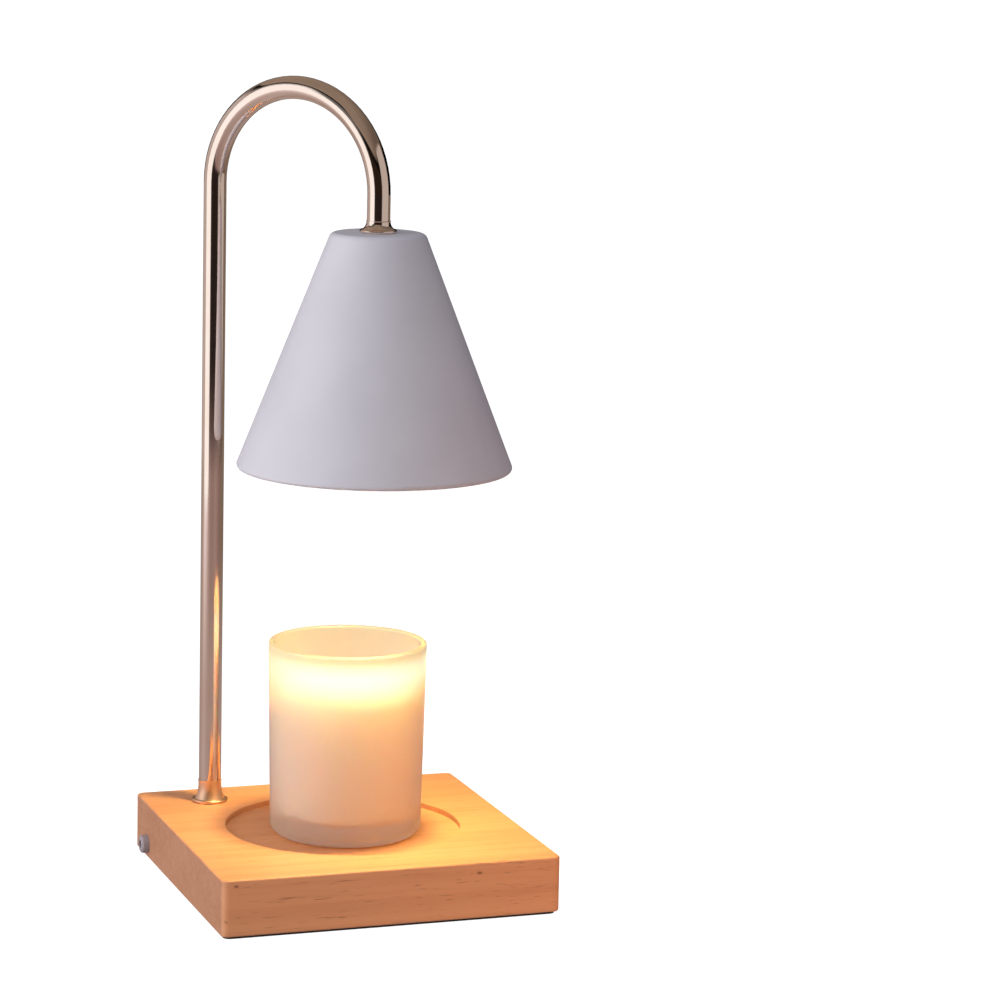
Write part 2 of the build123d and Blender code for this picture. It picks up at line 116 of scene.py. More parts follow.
def ramp(tree, value, *stops):
    # stops are (position, colour) with colour as a grey number or an rgb triple
    node = addNode(tree, "ValToRGB")
    band = node.color_ramp
    while len(band.elements) < len(stops):
        band.elements.new(0.5)
    for element, (position, colour) in zip(band.elements, stops):
        element.position = position
        rgb = (colour,) * 3 if isinstance(colour, (int, float)) else colour
        element.color = (*rgb, 1.0)
    tree.links.new(value, node.inputs["Fac"])
    return node.outputs["Color"]


def smoothStep(tree, value, start, end, low, high):
    node = addNode(tree, "MapRange", interpolation_type="SMOOTHSTEP")
    setInputs(node, From_Min=start, From_Max=end, To_Min=low, To_Max=high)
    tree.links.new(value, node.inputs["Value"])
    return node.outputs["Result"]


def mathNode(tree, operation, *values, clamp=False):
    node = addNode(tree, "Math", operation=operation, use_clamp=clamp)
    for socket, value in zip(node.inputs, values):
        feed(tree, socket, value)
    return node.outputs[0]


def vectorNode(tree, operation, *values, output="Vector"):
    node = addNode(tree, "VectorMath", operation=operation)
    for socket, value in zip(node.inputs, values):
        feed(tree, socket, value)
    return node.outputs[output]


def axesOf(tree, vector):
    node = addNode(tree, "SeparateXYZ")
    tree.links.new(vector, node.inputs[0])
    return node.outputs


def mixColour(tree, factor, a, b, mode="MIX"):
    node = addNode(tree, "Mix", data_type="RGBA", blend_type=mode)
    for index, value in ((0, factor), (6, a), (7, b)):
        feed(tree, node.inputs[index], (*value, 1.0) if isinstance(value, tuple) else value)
    return node.outputs[2]


def mottled(tree, value, a, b, start=0.35, end=0.70, most=1.0):
    # the first colour, drifting into the second where the value is high
    return mixColour(tree, ramp(tree, value, (start, 0.0), (end, most)), a, b)


def facingRamp(tree, fromAxis, normal, *stops):
    # where a face looks: below a half towards the axis, over it away from the axis
    steepness = 200.0
    facing = vectorNode(tree, "DOT_PRODUCT", fromAxis, normal, output="Value")
    return ramp(tree, mathNode(tree, "MULTIPLY_ADD", facing, steepness, 0.5), *stops)


def roughen(tree, shader, value, ends, span=(0.3, 0.7)):
    # the middle of the value's range is spread between two roughnesses
    blend = ramp(tree, value, (span[0], ends[0]), (span[1], ends[1]))
    tree.links.new(blend, shader.inputs["Roughness"])


def addBump(tree, shader, height, strength, distance):
    node = setInputs(addNode(tree, "Bump"), Strength=strength, Distance=distance)
    tree.links.new(height, node.inputs["Height"])
    tree.links.new(node.outputs["Normal"], shader.inputs["Normal"])


def dress(material, *names):
    # gives CAD nodes or new pieces a finish
    for name in names:
        piece = nodes.get(name) or bpy.data.objects[name]
        piece.data.materials.clear()
        piece.data.materials.append(material)


# oiled rubberwood
wood = dict(
    pale=(0.735, 0.352, 0.166),
    ruddy=(0.640, 0.279, 0.124),
    fibre=(0.480, 0.195, 0.087),
    pore=(0.200, 0.070, 0.030),
    stretch=0.035,           # how slow everything is along the grain
    pithAt=(0.0, 0.052, -0.135),    # rings run about a line along x, below the block
    ringSpacing=0.0085,
    ringShape=[(0.0, 0.15), (0.55, 0.35), (0.86, 0.85), (0.97, 1.0), (1.0, 0.15)],
    ringWander=0.0075,
    wanderScale=22,
    broadScale=34,           # slow drift from pale to ruddy
    ringWeight=0.18,
    broadWeight=0.70,
    toneEnds=(0.24, 0.72),
    streakScale=150,
    streakStretch=0.056,     # streaks and pores are a little shorter than the rest
    streakMask=[(0.45, 0.0), (0.74, 0.30)],
    fibreScale=620,
    fibreMask=[(0.50, 0.0), (0.80, 0.27)],
    poreScale=1500,
    poreStretch=0.075,
    poreMask=[(0.66, 0.0), (0.76, 0.55)],
    endGrain=(0.66, 0.66, 0.73),    # end faces drink the oil and go duller
    endSharpness=6.0,
    knotStretch=0.6,
    knotCore=0.3,            # share of a knot that is fully dark
    knotDepth=0.75,
    roughness=(0.36, 0.52),
    specular=0.38,
    fibreRelief=0.55,
    poreRelief=0.6,
    bumpStrength=0.35,
    bumpDepth=0.00018,
)
# tiny dark pin knots as places on the block and sizes, three in front and one behind
pinKnots = [
    ((-0.0690, -0.0750, 0.0229), 0.0009),
    ((0.0379, -0.0750, 0.0210), 0.0010),
    ((-0.0735, -0.0750, 0.0077), 0.0008),
    ((0.0580, 0.0750, 0.0140), 0.0011),
]


def woodMaterial():
    s = wood
    mat, tree, shader = newMaterial("oiledRubberwood")
    # growth rings about the pith, pushed out of true by a slow noise
    slow = objectCoords(tree, scale=(s["stretch"], 1, 1))
    wander = noise(tree, slow, s["wanderScale"], detail=3, rough=0.55, output="Color")
    pulled = vectorNode(tree, "MULTIPLY_ADD", wander, (s["ringWander"],) * 3, slow)
    fromPith = vectorNode(tree, "SUBTRACT", pulled, s["pithAt"])
    reach = vectorNode(tree, "LENGTH", fromPith, output="Value")
    ringShare = mathNode(tree, "FRACT", mathNode(tree, "DIVIDE", reach, s["ringSpacing"]))
    rings = ramp(tree, ringShare, *s["ringShape"])
    broad = mathNode(tree, "MULTIPLY", noise(tree, slow, s["broadScale"]), s["broadWeight"])
    tone = mathNode(tree, "MULTIPLY_ADD", rings, s["ringWeight"], broad)
    paleEnd, ruddyEnd = s["toneEnds"]
    colour = ramp(tree, tone, (paleEnd, s["pale"]), (ruddyEnd, s["ruddy"]))
    # streaks, fibres and pores, each shifted so that they don't repeat one another
    at = objectCoords(tree, scale=(s["streakStretch"], 1, 1), shift=(0, 0.2, 0))
    streaks = noise(tree, at, s["streakScale"], detail=3, rough=0.6)
    at = objectCoords(tree, scale=(s["stretch"], 1, 1), shift=(0.3, 0, 0))
    fibres = noise(tree, at, s["fibreScale"], detail=3, rough=0.65)
    at = objectCoords(tree, scale=(s["poreStretch"], 1, 1), shift=(0.1, 0, 0.4))
    pores = noise(tree, at, s["poreScale"], detail=1.5)
    poreMask = ramp(tree, pores, *s["poreMask"])
    colour = mixColour(tree, ramp(tree, streaks, *s["streakMask"]), colour, s["fibre"])
    colour = mixColour(tree, ramp(tree, fibres, *s["fibreMask"]), colour, s["fibre"])
    colour = mixColour(tree, poreMask, colour, s["pore"])
    # the two faces across the grain
    normal = addNode(tree, "NewGeometry").outputs["Normal"]
    along = mathNode(tree, "ABSOLUTE", axesOf(tree, normal)["X"])
    across = mathNode(tree, "POWER", along, s["endSharpness"])
    duller = mixColour(tree, 1.0, colour, s["endGrain"], "MULTIPLY")
    colour = mixColour(tree, across, colour, duller)
    at = objectCoords(tree, scale=(s["knotStretch"], 1, 1))
    for (x, y, z), size in pinKnots:
        away = vectorNode(tree, "DISTANCE", at, (x * s["knotStretch"], y, z), output="Value")
        knot = smoothStep(tree, away, size, size * s["knotCore"], 0.0, s["knotDepth"])
        colour = mixColour(tree, knot, colour, s["pore"])
    tree.links.new(colour, shader.inputs["Base Color"])
    roughen(tree, shader, fibres, s["roughness"])
    setInputs(shader, Specular_IOR_Level=s["specular"])
    relief = mathNode(tree, "SUBTRACT", mathNode(tree, "MULTIPLY", fibres, s["fibreRelief"]),
                      mathNode(tree, "MULTIPLY", poreMask, s["poreRelief"]))
    addBump(tree, shader, relief, s["bumpStrength"], s["bumpDepth"])
    return mat


# polished rose gold plating
roseGold = dict(
    colour=(0.950, 0.775, 0.670),
    warmer=(0.935, 0.735, 0.615),
    smudgeScale=38,
    roughness=(0.070, 0.130),
    roughSpan=(0.32, 0.72),
    lineScale=2600,          # faint polishing lines, drawn out upwards
    lineStretch=0.05,
    bumpStrength=0.12,
    bumpDepth=0.00001,
)
# the foot collar is brushed, so it mirrors only a blur of what is near
brushedGold = dict(
    roseGold,
    colour=(0.950, 0.660, 0.480),
    warmer=(0.930, 0.610, 0.420),
    roughness=(0.36, 0.44),
)


def platedMaterial(name, s):
    mat, tree, shader = newMaterial(name)
    smudge = noise(tree, objectCoords(tree), s["smudgeScale"], detail=4, rough=0.6)
    lines = noise(tree, objectCoords(tree, scale=(1, 1, s["lineStretch"])), s["lineScale"])
    colour = mottled(tree, smudge, s["colour"], s["warmer"])
    tree.links.new(colour, shader.inputs["Base Color"])
    roughen(tree, shader, smudge, s["roughness"], s["roughSpan"])
    setInputs(shader, Metallic=1.0)
    addBump(tree, shader, lines, s["bumpStrength"], s["bumpDepth"])
    return mat


# matt powder coat of the shade
shadePaint = dict(
    outside=(0.560, 0.560, 0.600),
    fleck=(0.520, 0.520, 0.560),
    inside=(0.84, 0.83, 0.80),
    cloudScale=26,
    peelScale=1400,          # orange peel of the coat
    grainScale=5200,
    grainShare=0.35,
    roughness=(0.50, 0.62),
    specular=0.35,
    bumpStrength=0.30,
    bumpDepth=0.00006,
)


def paintMaterial():
    s = shadePaint
    mat, tree, shader = newMaterial("lilacPowderCoat")
    at = objectCoords(tree)
    peel = noise(tree, at, s["peelScale"])
    grain = noise(tree, at, s["grainScale"], detail=1)
    cloud = noise(tree, at, s["cloudScale"], detail=3)
    colour = mottled(tree, cloud, s["outside"], s["fleck"])
    # the inside faces the shade's own axis and stays white
    fromAxis = objectCoords(tree, scale=(1, 1, 0), shift=(-shadeX, -shadeY, 0))
    normal = addNode(tree, "NewGeometry").outputs["Normal"]
    inward = facingRamp(tree, fromAxis, normal, (0.0, 1.0), (0.4, 0.0))
    colour = mixColour(tree, inward, colour, s["inside"])
    tree.links.new(colour, shader.inputs["Base Color"])
    roughen(tree, shader, peel, s["roughness"])
    setInputs(shader, Specular_IOR_Level=s["specular"])
    height = mathNode(tree, "MULTIPLY_ADD", grain, s["grainShare"], peel)
    addBump(tree, shader, height, s["bumpStrength"], s["bumpDepth"])
    return mat


# frosted candle glass
frostedGlass = dict(
    colour=(0.975, 0.908, 0.830),
    cloudTint=(0.965, 0.885, 0.800),
    cloudScale=45,
    cloudMost=0.5,
    # painted shade: a darker tint on the inside of the wall, where the bulb lights the far wall
    # strongly
    innerShadeTint=(0.975, 0.87, 0.84),  # over the colour, on the faces turned to the axis
    # painted shade: the rim's top, lit strongly by the bulb, is painted darker
    rimPaintedShade=(0.70, 0.58, 0.46),
    rimSpan=(0.5, 0.9),             # how far up a face looks where the rim's tone sets in
    scatterDepth=0.004,      # how far light creeps inside the milky wall
    scatterTint=(1.0, 0.80, 0.62),
    clearShare=0.86,
    ior=1.45,
    roughness=(0.40, 0.52),
    etchScale=2400,
    bumpStrength=0.25,
    bumpDepth=0.00003,
    # painted glow, as emission on the wall: it stands in for the light of the bulb that the wax
    # and the wood send through the wall. Tables of share of the height, colour; left is the side
    # by the post, right is over the open wood, middle and edge add to them in front and at the
    # far left
    glowLeft=[(0.00, (0.040, 0.015, 0.002)), (0.20, (0.000, 0.000, 0.000)),
              (0.74, (0.010, 0.000, 0.000)), (0.87, (0.120, 0.115, 0.075)),
              (0.94, (0.085, 0.080, 0.070)), (0.97, (0.000, 0.000, 0.000))],
    glowRight=[(0.00, (0.090, 0.035, 0.010)), (0.14, (0.150, 0.052, 0.014)),
               (0.45, (0.155, 0.052, 0.012)), (0.66, (0.180, 0.052, 0.010)),
               (0.76, (0.180, 0.075, 0.000)), (0.87, (0.300, 0.280, 0.185)),
               (0.94, (0.160, 0.150, 0.110)), (0.97, (0.000, 0.000, 0.000))],
    glowMiddle=[(0.76, (0.000, 0.000, 0.000)), (0.83, (0.120, 0.110, 0.115)),
                (0.90, (0.150, 0.140, 0.145)), (0.96, (0.000, 0.000, 0.000))],
    glowEdge=[(0.08, (0.060, 0.030, 0.010)), (0.20, (0.080, 0.035, 0.010)),
              (0.30, (0.060, 0.030, 0.015)), (0.42, (0.070, 0.050, 0.035)),
              (0.55, (0.125, 0.080, 0.045)), (0.68, (0.165, 0.090, 0.040)),
              (0.78, (0.120, 0.060, 0.000)), (0.86, (0.000, 0.000, 0.000))],
    edgeReach=0.22,          # share of the width
    glowTowards=(0.94, -0.34),
)


def glassMaterial():
    s = frostedGlass
    mat, tree, shader = newMaterial("etchedGlass")
    at = objectCoords(tree)
    fromAxis = objectCoords(tree, scale=(1, 1, 0), shift=(-candleX, -candleY, 0))
    normal = addNode(tree, "NewGeometry").outputs["True Normal"]
    etch = noise(tree, at, s["etchScale"])
    cloud = noise(tree, at, s["cloudScale"], detail=3)
    colour = mottled(tree, cloud, s["colour"], s["cloudTint"], most=s["cloudMost"])
    outward = facingRamp(tree, fromAxis, normal, (0.1, 0.0), (0.5, 1.0))
    # painted shade: faces turned to the axis are darkened against the bulb's strong light on the
    # far wall
    inner = mixColour(tree, 1.0, colour, s["innerShadeTint"], "MULTIPLY")
    colour = mixColour(tree, outward, inner, colour)
    level, rim = s["rimSpan"]
    # painted shade on faces that look up, the rim's top, against the bulb's strong light
    rimShadeMask = ramp(tree, axesOf(tree, normal)["Z"], (level, 0.0), (rim, 1.0))
    colour = mixColour(tree, rimShadeMask, colour, s["rimPaintedShade"])
    tree.links.new(colour, shader.inputs["Base Color"])
    roughen(tree, shader, etch, s["roughness"])
    setInputs(shader, Transmission_Weight=s["clearShare"], IOR=s["ior"], Subsurface_Weight=1.0,
              Subsurface_Radius=s["scatterTint"], Subsurface_Scale=s["scatterDepth"])
    # how high a point is, and how far over to the open side, both as shares of the jar
    share = mathNode(tree, "MULTIPLY_ADD", axesOf(tree, at)["Z"], 1 / glassTall,
                     -glassLow.z / glassTall)
    towards = vectorNode(tree, "DOT_PRODUCT", fromAxis, (*s["glowTowards"], 0), output="Value")
    sunny = mathNode(tree, "MULTIPLY_ADD", towards, 1 / glassWide, 0.5, clamp=True)
    # one half way across, nothing at both sides
    middle = mathNode(tree, "MULTIPLY", mathNode(tree, "MULTIPLY", sunny, 4.0),
                      mathNode(tree, "SUBTRACT", 1.0, sunny))
    edge = ramp(tree, sunny, (0.0, 1.0), (s["edgeReach"], 0.0))
    # painted glow: emission on the outer faces, standing in for the bulb's light coming through
    # the wall
    glow = mixColour(tree, sunny, ramp(tree, share, *s["glowLeft"]),
                     ramp(tree, share, *s["glowRight"]))
    glow = mixColour(tree, middle, glow, ramp(tree, share, *s["glowMiddle"]), "ADD")
    glow = mixColour(tree, edge, glow, ramp(tree, share, *s["glowEdge"]), "ADD")
    glow = mixColour(tree, 1.0, glow, outward, "MULTIPLY")
    tree.links.new(glow, shader.inputs["Emission Color"])
    setInputs(shader, Emission_Strength=1.0)
    addBump(tree, shader, etch, s["bumpStrength"], s["bumpDepth"])
    return mat


# soft wax
waxLook = dict(
    colour=(0.975, 0.860, 0.700),
    warmer=(0.970, 0.830, 0.650),
    warmerMost=0.6,
    mottleScale=120,
    scatterDepth=0.030,
    scatterTint=(1.0, 0.66, 0.40),
    poolRadius=0.019,        # melted, glossy pool round the wick
    poolEdge=1.25,
    poolWobble=0.006,
    poolRoughness=0.12,
    setRoughness=0.46,
    bumpStrength=0.2,
    bumpDepth=0.00025,
)


def waxMaterial():
    s = waxLook
    mat, tree, shader = newMaterial("softWax")
    at = objectCoords(tree)
    mottle = noise(tree, at, s["mottleScale"], detail=4, rough=0.6)
    colour = mottled(tree, mottle, s["colour"], s["warmer"], start=0.4, most=s["warmerMost"])
    tree.links.new(colour, shader.inputs["Base Color"])
    away = vectorNode(tree, "DISTANCE", at, (candleX, candleY, waxHigh.z), output="Value")
    away = mathNode(tree, "MULTIPLY_ADD", mottle, s["poolWobble"], away)
    gloss = smoothStep(tree, away, s["poolRadius"], s["poolRadius"] * s["poolEdge"],
                       s["poolRoughness"], s["setRoughness"])
    tree.links.new(gloss, shader.inputs["Roughness"])
    setInputs(shader, Subsurface_Weight=1.0, Subsurface_Radius=s["scatterTint"],
              Subsurface_Scale=s["scatterDepth"])
    addBump(tree, shader, mottle, s["bumpStrength"], s["bumpDepth"])
    return mat


# plastics, rubber, ceramic and cotton
moulded = dict(
    cloudScale=60,
    drift=0.12,              # how much darker the clouds are
    spread=0.06,             # either side of the roughness
    specular=0.4,
    bumpStrength=0.3,
)


def mouldedMaterial(name, colour, roughness, grain=1800, depth=0.00004):
    s = moulded
    mat, tree, shader = newMaterial(name)
    at = objectCoords(tree)
    fine = noise(tree, at, grain)
    cloud = noise(tree, at, s["cloudScale"], detail=3)
    shaded = tuple(c * (1 - s["drift"]) for c in colour)
    tree.links.new(mottled(tree, cloud, colour, shaded), shader.inputs["Base Color"])
    roughen(tree, shader, fine, (roughness - s["spread"], roughness + s["spread"]))
    setInputs(shader, Specular_IOR_Level=s["specular"])
    addBump(tree, shader, fine, s["bumpStrength"], depth)
    return mat


# stiff foam of the pad
foam = dict(
    cellScale=1100.0,
    cellTone=(0.010, 0.010, 0.011),
    wallTone=(0.034, 0.033, 0.033),
    wallFrom=0.8,
    roughness=0.88,
    specular=0.2,
    bumpStrength=0.5,
    bumpDepth=0.0002,
)


def foamMaterial():
    s = foam
    mat, tree, shader = newMaterial("closedCellFoam")
    away = cells(tree, s["cellScale"])
    tone = ramp(tree, away, (0.0, s["cellTone"]), (s["wallFrom"], s["wallTone"]))
    tree.links.new(tone, shader.inputs["Base Color"])
    setInputs(shader, Roughness=s["roughness"], Specular_IOR_Level=s["specular"])
    addBump(tree, shader, away, s["bumpStrength"], s["bumpDepth"])
    return mat


# bare and plated metals inside
metal = dict(
    dullShare=0.82,
    bumpStrength=0.15,
    bumpDepth=0.00003,
)


def metalMaterial(name, colour, roughness=(0.24, 0.42), spangle=260):
    s = metal
    mat, tree, shader = newMaterial(name)
    patches = noise(tree, objectCoords(tree), spangle, detail=3, rough=0.7)
    dull = tuple(c * s["dullShare"] for c in colour)
    tree.links.new(mottled(tree, patches, colour, dull, start=0.4, end=0.65),
                   shader.inputs["Base Color"])
    roughen(tree, shader, patches, roughness)
    setInputs(shader, Metallic=1.0)
    addBump(tree, shader, patches, s["bumpStrength"], s["bumpDepth"])
    return mat


# glass that the burning filament fills with light; the pattern is the pressed stipple
litGlass = dict(
    colour=(0.9, 0.86, 0.78),
    colourFalls=0.9,         # share that is left between the dots
    glowFalls=0.72,
    wallFrom=0.9,
    bumpStrength=0.3,
    bumpDepth=0.0003,
)


def litMaterial(name, glow, strength, pattern=900, roughness=0.25):
    s = litGlass
    mat, tree, shader = newMaterial(name)
    dots = cells(tree, pattern)
    for socket, tone, falls in (("Emission Color", glow, s["glowFalls"]),
                                ("Base Color", s["colour"], s["colourFalls"])):
        wall = tuple(c * falls for c in tone)
        blend = ramp(tree, dots, (0.0, tone), (s["wallFrom"], wall))
        tree.links.new(blend, shader.inputs[socket])
    setInputs(shader, Emission_Strength=strength, Roughness=roughness)
    addBump(tree, shader, dots, s["bumpStrength"], s["bumpDepth"])
    return mat


finishes = dict(
    wood=woodMaterial(),
    roseGold=platedMaterial("roseGoldPlating", roseGold),
    brushedGold=platedMaterial("brushedRoseGold", brushedGold),
    paint=paintMaterial(),
    glass=glassMaterial(),
    wax=waxMaterial(),
    foam=foamMaterial(),
    cover=mouldedMaterial("blackCover", (0.022, 0.022, 0.023), roughness=0.62, grain=2600),
    grommet=mouldedMaterial("greyGrommet", (0.34, 0.29, 0.30), roughness=0.42),
    nylon=mouldedMaterial("naturalNylon", (0.78, 0.75, 0.66), roughness=0.4),
    ceramic=mouldedMaterial("steatite", (0.80, 0.78, 0.73), roughness=0.55, grain=3200),
    brown=mouldedMaterial("brownSleeve", (0.10, 0.035, 0.014), roughness=0.45),
    blue=mouldedMaterial("blueSleeve", (0.02, 0.09, 0.33), roughness=0.45),
    cotton=mouldedMaterial("waxedCotton", (0.72, 0.66, 0.55), roughness=0.8, grain=4200,
                           depth=0.0001),
    zinc=metalMaterial("zincPlate", (0.66, 0.67, 0.69)),
    brass=metalMaterial("brightBrass", (0.80, 0.58, 0.25), roughness=(0.18, 0.32)),
    aluminium=metalMaterial("lampAluminium", (0.80, 0.80, 0.82), roughness=(0.2, 0.3)),
    mirror=metalMaterial("dichroicCoat", (0.86, 0.83, 0.78), roughness=(0.12, 0.25),
                         spangle=500),
    lens=litMaterial("litLens", (1.0, 0.76, 0.46), 9.0),
    capsule=litMaterial("litCapsule", (1.0, 0.70, 0.36), 30.0, pattern=300, roughness=0.1),
)
print("finishes made:", len(finishes))

dress(finishes["wood"], "wooden_base")
dress(finishes["foam"], "anti_slip_pad")
dress(finishes["cover"], "bottom_cover")
dress(finishes["zinc"], "cover_screws", "post_washer", "post_lock_nut", "shade_washer",
      "shade_lock_nut", "lampholder_bracket", "lampholder_screws", "wick_sustainer")
dress(finishes["grommet"], "cable_grommet")
dress(finishes["roseGold"], "post_tube", "shade_collar")
dress(finishes["brushedGold"], "foot_collar")
dress(finishes["nylon"], "terminal_block")
dress(finishes["brass"], "terminal_screws", "lampholder_contacts", "bulb_pins")
dress(finishes["brown"], "lead_live")
dress(finishes["blue"], "lead_neutral")
dress(finishes["paint"], "shade")
dress(finishes["ceramic"], "lampholder_body", "bulb_cap")
dress(finishes["mirror"], "bulb_reflector")
dress(finishes["aluminium"], "bulb_rim")
dress(finishes["lens"], "bulb_lens")
dress(finishes["capsule"], "bulb_capsule")
dress(finishes["glass"], "candle_glass")


# turned and swept meshes
def meshObject(name, verts, faces, smooth=True):
    mesh = bpy.data.meshes.new(name)
    mesh.from_pydata([tuple(v) for v in verts], [], faces)
    mesh.validate()
    if smooth:
        mesh.shade_smooth()
    piece = bpy.data.objects.new(name, mesh)
    bpy.context.scene.collection.objects.link(piece)
    return piece


def turnedMesh(name, profile, centre, steps, lift):
    # profile is (radius, z) from the axis round to the axis; lift(x, y, r, z) may raise a point
    verts, rows = [], []
    for radius, z in profile:
        onAxis = radius < 1e-7
        row = []
        for i in range(1 if onAxis else steps):
            a = 2 * math.pi * i / steps
            x, y = radius * math.cos(a), radius * math.sin(a)
            row.append(len(verts))
            verts.append((centre[0] + x, centre[1] + y, z + lift(x, y, radius, z)))
        rows.append(row)
    faces = []
    for a, b in zip(rows, rows[1:]):
        for i in range(steps):
            j = (i + 1) % steps
            if len(a) == 1:
                faces.append((a[0], b[i], b[j]))
            elif len(b) == 1:
                faces.append((a[i], b[0], a[j]))
            else:
                faces.append((a[i], b[i], b[j], a[j]))
    return meshObject(name, verts, faces)


# wax with a meniscus and a melted pool
wax = dict(
    wallGap=0.00012,         # keeps the wax off the glass so both surfaces render
    meniscus=0.0011,
    meniscusReach=0.0028,
    meniscusBend=2.2,
    wickClimb=0.0007,
    climbReach=0.0026,
    poolDip=0.0005,
    poolBend=6,
    poolCalm=0.8,            # share of the ripple that is gone in the pool
    ripple=0.00022,
    swell=(310, 270, 520),   # waves along x, along y and across both
    shoulder=0.0006,
    footRound=0.0040,
    footSteps=8,
    rings=40,
    ringCrowd=1.15,          # over 1 the rings stand closer towards the glass
    steps=128,
)


def glassTaper():
    # how much the jar's wall leans out per metre of height, measured on its own mesh
    def reach(point):
        return math.hypot(point.x - candleX, point.y - candleY)

    # the foot is the widest place in the lowest fifth
    lowest = glassLow.z + 0.2 * glassTall
    low = [v.co for v in nodes["candle_glass"].data.vertices if v.co.z < lowest]
    wide = max(low, key=reach)
    return (glassWide / 2 - reach(wide)) / (glassHigh.z - wide.z)


def makeWax():
    top, foot = waxHigh.z, waxLow.z + wax["wallGap"]
    alongX, alongY, across = wax["swell"]
    topRadius = (waxHigh.x - waxLow.x) / 2 - wax["wallGap"]
    footRadius = topRadius - glassTaper() * (top - waxLow.z)
    profile = [(0.0, top)]
    for k in range(1, wax["rings"] + 1):
        share = k / wax["rings"]
        profile.append((topRadius * (1 - (1 - share) ** wax["ringCrowd"]), top))
    profile.append((topRadius, top - wax["shoulder"]))
    profile.append((footRadius + (topRadius - footRadius) * 0.5, (top + waxLow.z) / 2))
    bend = wax["footRound"]
    for k in range(wax["footSteps"] + 1):
        a = math.radians(90 * k / wax["footSteps"])
        profile.append((footRadius - bend + bend * math.cos(a), foot + bend - bend * math.sin(a)))
    profile.append((0.0, foot))

    def lift(x, y, radius, z):
        if z < top - 1e-6:
            return 0.0
        edge = max(0.0, 1 - (topRadius - radius) / wax["meniscusReach"])
        climb = max(0.0, 1 - radius / wax["climbReach"])
        pool = 1 / (1 + (radius / waxLook["poolRadius"]) ** wax["poolBend"])
        wave = (math.sin(alongX * x + 1.3) * math.cos(alongY * y - 0.4)
                + 0.5 * math.sin(across * (x + y)))
        rise = wax["meniscus"] * edge ** wax["meniscusBend"] + wax["wickClimb"] * climb ** 2
        calm = (1 - edge) * (1 - pool * wax["poolCalm"])
        return rise - wax["poolDip"] * pool + wax["ripple"] * wave * calm

    piece = turnedMesh("melted_wax", profile, (candleX, candleY), wax["steps"], lift)
    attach(piece, "candle")
    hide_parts("candle_wax")
    dress(finishes["wax"], "melted_wax")


# braided cotton wick
wick = dict(
    strands=3,
    strandRadius=0.00052,
    braidRadius=0.00042,
    braidFlat=0.8,
    turns=11,
    lean=(0.00128, -0.0008),     # how far the tip bends over
    leanFrom=0.86,
    tipDrop=0.0004,
    fray=0.25,
    frayFrom=0.985,
    lookAhead=0.002,         # share of the length over which a strand's direction is taken
    sides=10,
    stepsPerTurn=14,
)


def makeWick():
    low, high = wickLow.z, wickHigh.z - wick["tipDrop"]
    count = wick["turns"] * wick["stepsPerTurn"]
    sides = wick["sides"]
    verts, faces = [], []

    def centreLine(share, strand):
        bend = max(0.0, (share - wick["leanFrom"]) / (1 - wick["leanFrom"])) ** 2
        a = 2 * math.pi * (share * wick["turns"] + strand / wick["strands"])
        x = wick["lean"][0] * bend + wick["braidRadius"] * math.cos(a)
        y = wick["lean"][1] * bend + wick["braidRadius"] * math.sin(2 * a) * wick["braidFlat"]
        return Vector((candleX + x, candleY + y, low + (high - low) * share))

    for strand in range(wick["strands"]):
        start = len(verts)
        for k in range(count + 1):
            share = k / count
            here = centreLine(share, strand)
            before = centreLine(max(0.0, share - wick["lookAhead"]), strand)
            after = centreLine(min(1.0, share + wick["lookAhead"]), strand)
            ahead = (after - before).normalized()
            side = ahead.cross(Vector((0, 1, 0))).normalized()
            other = ahead.cross(side)
            loose = max(0.0, (share - wick["frayFrom"]) / (1 - wick["frayFrom"]))
            radius = wick["strandRadius"] * (1.0 + wick["fray"] * loose)
            for i in range(sides):
                a = 2 * math.pi * i / sides
                verts.append(here + (side * math.cos(a) + other * math.sin(a)) * radius)
        for k in range(count):
            for i in range(sides):
                j = (i + 1) % sides
                a, b = start + k * sides, start + (k + 1) * sides
                faces.append((a + i, a + j, b + j, b + i))
        faces.append(tuple(start + i for i in reversed(range(sides))))
        faces.append(tuple(start + count * sides + i for i in range(sides)))
    piece = meshObject("braided_wick", verts, faces)
    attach(piece, "candle")
    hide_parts("candle_wick")
    dress(finishes["cotton"], "braided_wick")


makeWax()
makeWick()
print("wax and wick modelled")


# camera
view = dict(
    azimuth=-19.6,           # from straight ahead, clockwise seen from above
    elevation=10.05,
    distance=1.57662,
    aimRight=0.06589,
    aimUp=0.14633,           # above the top of the wood
    roll=1.31,
    lens=130.95,
    sensor=36.0,
    clipEnd=200.0,
)
# where the camera stands, anticlockwise from +x
cameraSide = math.radians(view["azimuth"] - 90)

# floor of the studio
floorLook = dict(
    size=60.0,
    below=0.0004,
    tone=0.25,
    toneDrift=0.985,
    cloudScale=3.0,
    glow=1.0,
    roughness=0.9,
    specular=0.1,
)


def makeFloor():
    s = floorLook
    half, z = s["size"] / 2, -s["below"]
    corners = [(-half, -half, z), (half, -half, z), (half, half, z), (-half, half, z)]
    floor = meshObject("studio_floor", corners, [(0, 1, 2, 3)], smooth=False)
    mat, tree, shader = newMaterial("paleFloor")
    cloud = noise(tree, objectCoords(tree), s["cloudScale"])
    tone = ramp(tree, cloud, (0.3, s["tone"]), (0.7, s["tone"] * s["toneDrift"]))
    tree.links.new(tone, shader.inputs["Base Color"])
    setInputs(shader, Roughness=s["roughness"], Specular_IOR_Level=s["specular"],
              Emission_Color=(1, 1, 1, 1), Emission_Strength=s["glow"])
    floor.data.materials.append(mat)
    floor.visible_glossy = floor.visible_diffuse = floor.visible_transmission = False


